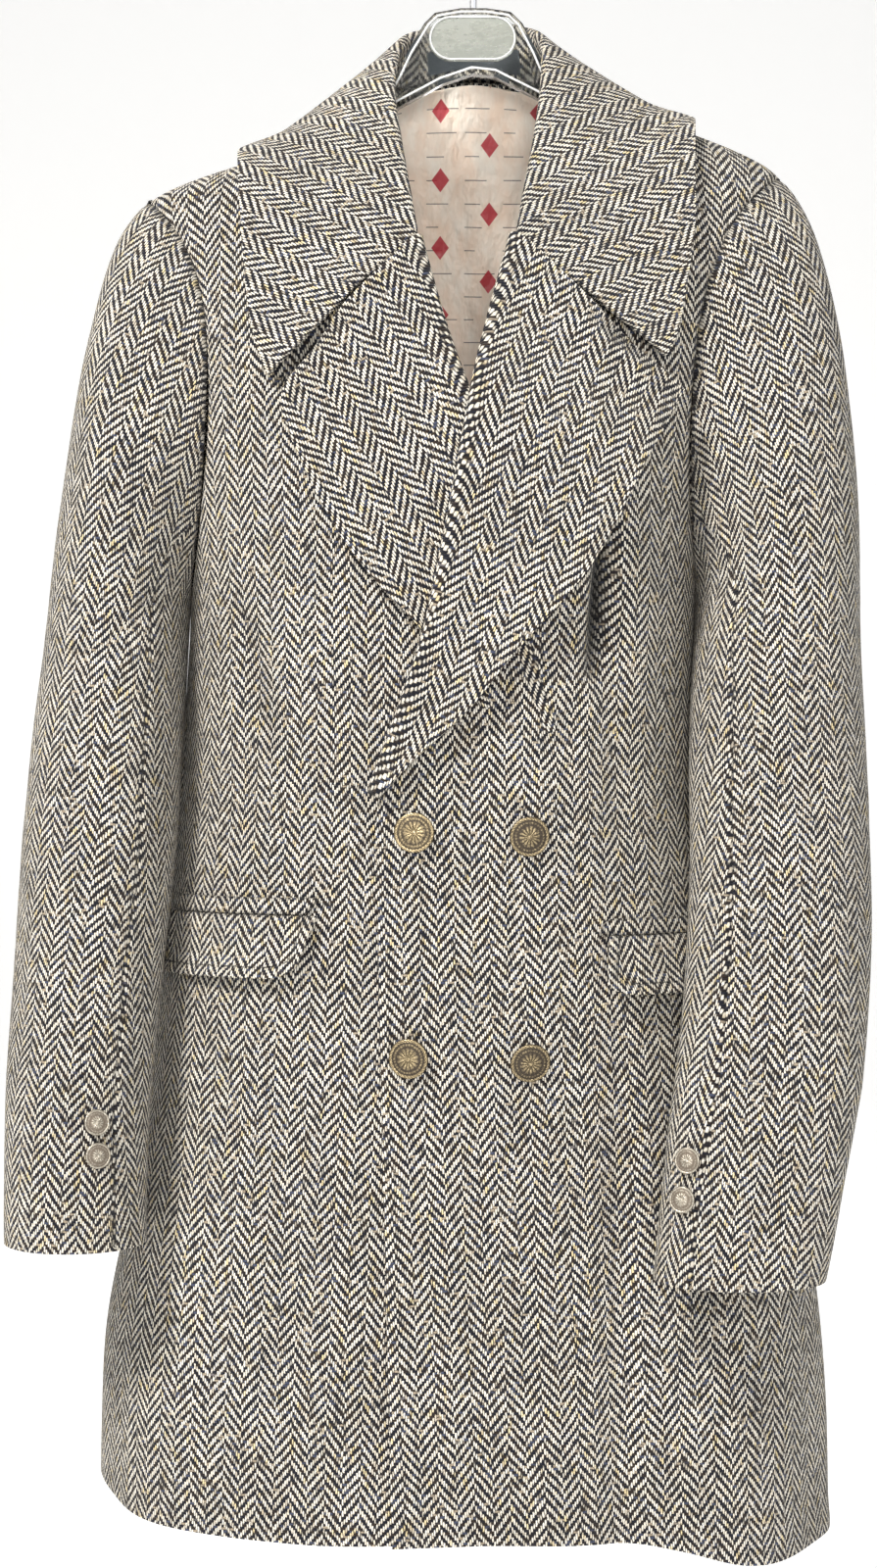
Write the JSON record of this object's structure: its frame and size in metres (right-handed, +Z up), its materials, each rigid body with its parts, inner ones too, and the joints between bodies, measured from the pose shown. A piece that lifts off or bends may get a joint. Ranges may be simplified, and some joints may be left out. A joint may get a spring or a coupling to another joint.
{
  "type": "double-breasted coat on a clear hanger",
  "caption": "Double-breasted herringbone tweed coat with wide notched lapels, flap pockets and brass buttons, closed and hanging on a clear plastic hanger.",
  "frame": {"origin": "inner top of the hanger hook's eye, where the rod carries it", "axes": "+Z up, -Y the coat's front, +X the wearer's left side"},
  "size_m": [0.547, 0.2986, 1.0843],
  "materials": {
    "tweed": "woolly herringbone tweed",
    "lining": "satin with a small printed repeat",
    "label": "matte woven tape, blank",
    "brass": "aged, with darker hollows",
    "antique_brass": "pale antique metal",
    "clear_plastic": "clear and glossy",
    "badge": "satin grey insert, blank",
    "steel": "polished wire"
  },
  "bodies": {
    "root": {"front_left": "tweed", "front_right": "tweed", "back_left": "tweed", "back_right": "tweed", "sleeve_left_top": "tweed", "sleeve_left_under": "tweed", "sleeve_right_top": "tweed", "sleeve_right_under": "tweed", "lapel_left": "tweed", "lapel_right": "tweed", "collar": "tweed", "welt_left": "tweed", "flap_left": "tweed", "welt_right": "tweed", "flap_right": "tweed", "lining_back": "lining", "neck_label": "label", "button_front_1": "brass", "button_front_2": "brass", "button_front_3": "brass", "button_front_4": "brass", "button_cuff_left_1": "antique_brass", "button_cuff_left_2": "antique_brass", "button_cuff_right_1": "antique_brass", "button_cuff_right_2": "antique_brass", "hanger_body": "clear_plastic", "hanger_badge": "badge", "hanger_hook": "steel"}
  },
  "joints": []
}
